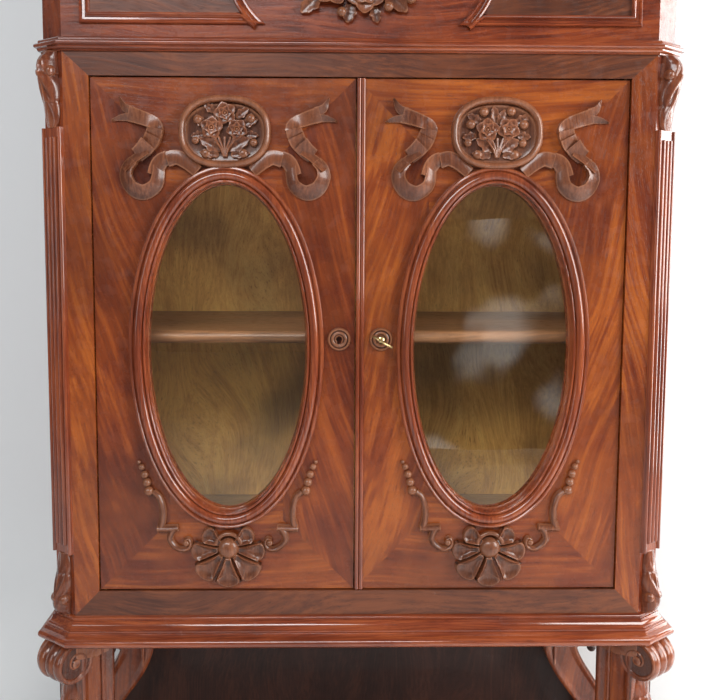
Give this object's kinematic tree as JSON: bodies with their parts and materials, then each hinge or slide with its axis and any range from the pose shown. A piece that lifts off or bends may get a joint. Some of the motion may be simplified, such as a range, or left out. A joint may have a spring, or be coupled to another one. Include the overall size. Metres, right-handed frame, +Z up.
{
  "type": "bookcase with adjustable shelves",
  "caption": "mahogany glazed bookcase on an open stand with scrolled legs, two hinged doors with oval lights and carved ornament, key and lock, and an adjustable shelf",
  "frame": {"origin": "on the floor, at the middle of the object's width and depth", "axes": "+Z up, the doors face -Y, +X to the right seen from the front"},
  "size_m": [1.055, 0.473, 1.832],
  "materials": {
    "mahogany": "flame mahogany, French polished",
    "dark_mahogany": "dark crossbanded mahogany, French polished",
    "carved_mahogany": "carved mahogany, waxed",
    "interior_wood": "plain softwood and flecked veneer, thin varnish",
    "brass": "worn, unlacquered",
    "glass": "old clear sheet glass"
  },
  "bodies": {
    "case": {"left_side_panel": "mahogany", "right_side_panel": "mahogany", "case_bottom_boards": "interior_wood", "case_ceiling": "interior_wood", "back_frame": "interior_wood", "back_panels": "interior_wood", "top_rail": "dark_mahogany", "bottom_rail": "dark_mahogany", "face_stiles": "mahogany", "corner_posts": "mahogany", "pilasters": "mahogany", "corner_corbels": "carved_mahogany", "waist_moulding": "mahogany", "base_moulding": "mahogany", "frieze_board": "mahogany", "frieze_panel_mouldings": "mahogany", "frieze_panels": "dark_mahogany", "frieze_bouquet": "carved_mahogany", "cornice": "mahogany", "top_board": "mahogany", "front_left_leg": "mahogany", "front_right_leg": "mahogany", "rear_left_leg": "mahogany", "rear_right_leg": "mahogany", "side_aprons": "dark_mahogany", "stand_back_panel": "dark_mahogany", "stand_platform": "mahogany", "bun_feet": "mahogany", "shelf_racks": "interior_wood", "case_pivot_plates": "brass"},
    "left_door": {"left_door_stiles": "mahogany", "left_door_rails": "mahogany", "left_door_oval_moulding": "mahogany", "left_door_glass": "glass", "left_door_glazing_bead": "interior_wood", "left_door_medallion": "carved_mahogany", "left_door_ribbons": "carved_mahogany", "left_door_shell": "carved_mahogany", "left_door_escutcheon": "carved_mahogany", "left_door_pivots": "brass", "left_door_hardware": "brass"},
    "right_door": {"right_door_stiles": "mahogany", "right_door_rails": "mahogany", "right_door_oval_moulding": "mahogany", "right_door_glass": "glass", "right_door_glazing_bead": "interior_wood", "right_door_medallion": "carved_mahogany", "right_door_ribbons": "carved_mahogany", "right_door_shell": "carved_mahogany", "right_door_escutcheon": "carved_mahogany", "right_door_pivots": "brass", "meeting_bead": "mahogany", "right_lock_case": "brass"},
    "left_top_bolt": {"left_top_bolt": "brass"},
    "left_bottom_bolt": {"left_bottom_bolt": "brass"},
    "lock_bolt": {"lock_bolt": "brass"},
    "key": {"key": "brass"},
    "shelf": {"shelf": "mahogany"},
    "left_cleat": {"left_cleat": "interior_wood"},
    "right_cleat": {"right_cleat": "interior_wood"}
  },
  "joints": [
    {"name": "left_door_hinge", "type": "hinge", "parent": "case", "child": "left_door", "pos_m": [-0.39, -0.1675, 0.722], "axis": [0, 0, -1], "range_deg": [0, 100]},
    {"name": "right_door_hinge", "type": "hinge", "parent": "case", "child": "right_door", "pos_m": [0.39, -0.1675, 0.722], "axis": [0, 0, 1], "range_deg": [0, 100]},
    {"name": "top_bolt_slide", "type": "slide", "parent": "left_door", "child": "left_top_bolt", "axis": [0, 0, 1], "range_m": [0, 0.012]},
    {"name": "bottom_bolt_slide", "type": "slide", "parent": "left_door", "child": "left_bottom_bolt", "axis": [0, 0, -1], "range_m": [0, 0.012]},
    {"name": "key_turn", "type": "hinge", "parent": "right_door", "child": "key", "pos_m": [0.0315, -0.1755, 1.1095], "axis": [0, -1, 0], "range_deg": [0, 210]},
    {"name": "lock_bolt_slide", "type": "slide", "parent": "right_door", "child": "lock_bolt", "axis": [-1, 0, 0], "range_m": [0, 0.008]},
    {"name": "shelf_lift", "type": "slide", "parent": "case", "child": "shelf", "axis": [0, 0, 1], "range_m": [0, 0.05]},
    {"name": "left_cleat_slide", "type": "slide", "parent": "case", "child": "left_cleat", "axis": [1, 0, 0], "range_m": [0, 0.03]},
    {"name": "right_cleat_slide", "type": "slide", "parent": "case", "child": "right_cleat", "axis": [-1, 0, 0], "range_m": [0, 0.03]}
  ],
  "couplings": [
    {"joint": "key_turn", "follows": "lock_bolt_slide", "rad_per_m": 458.15}
  ]
}
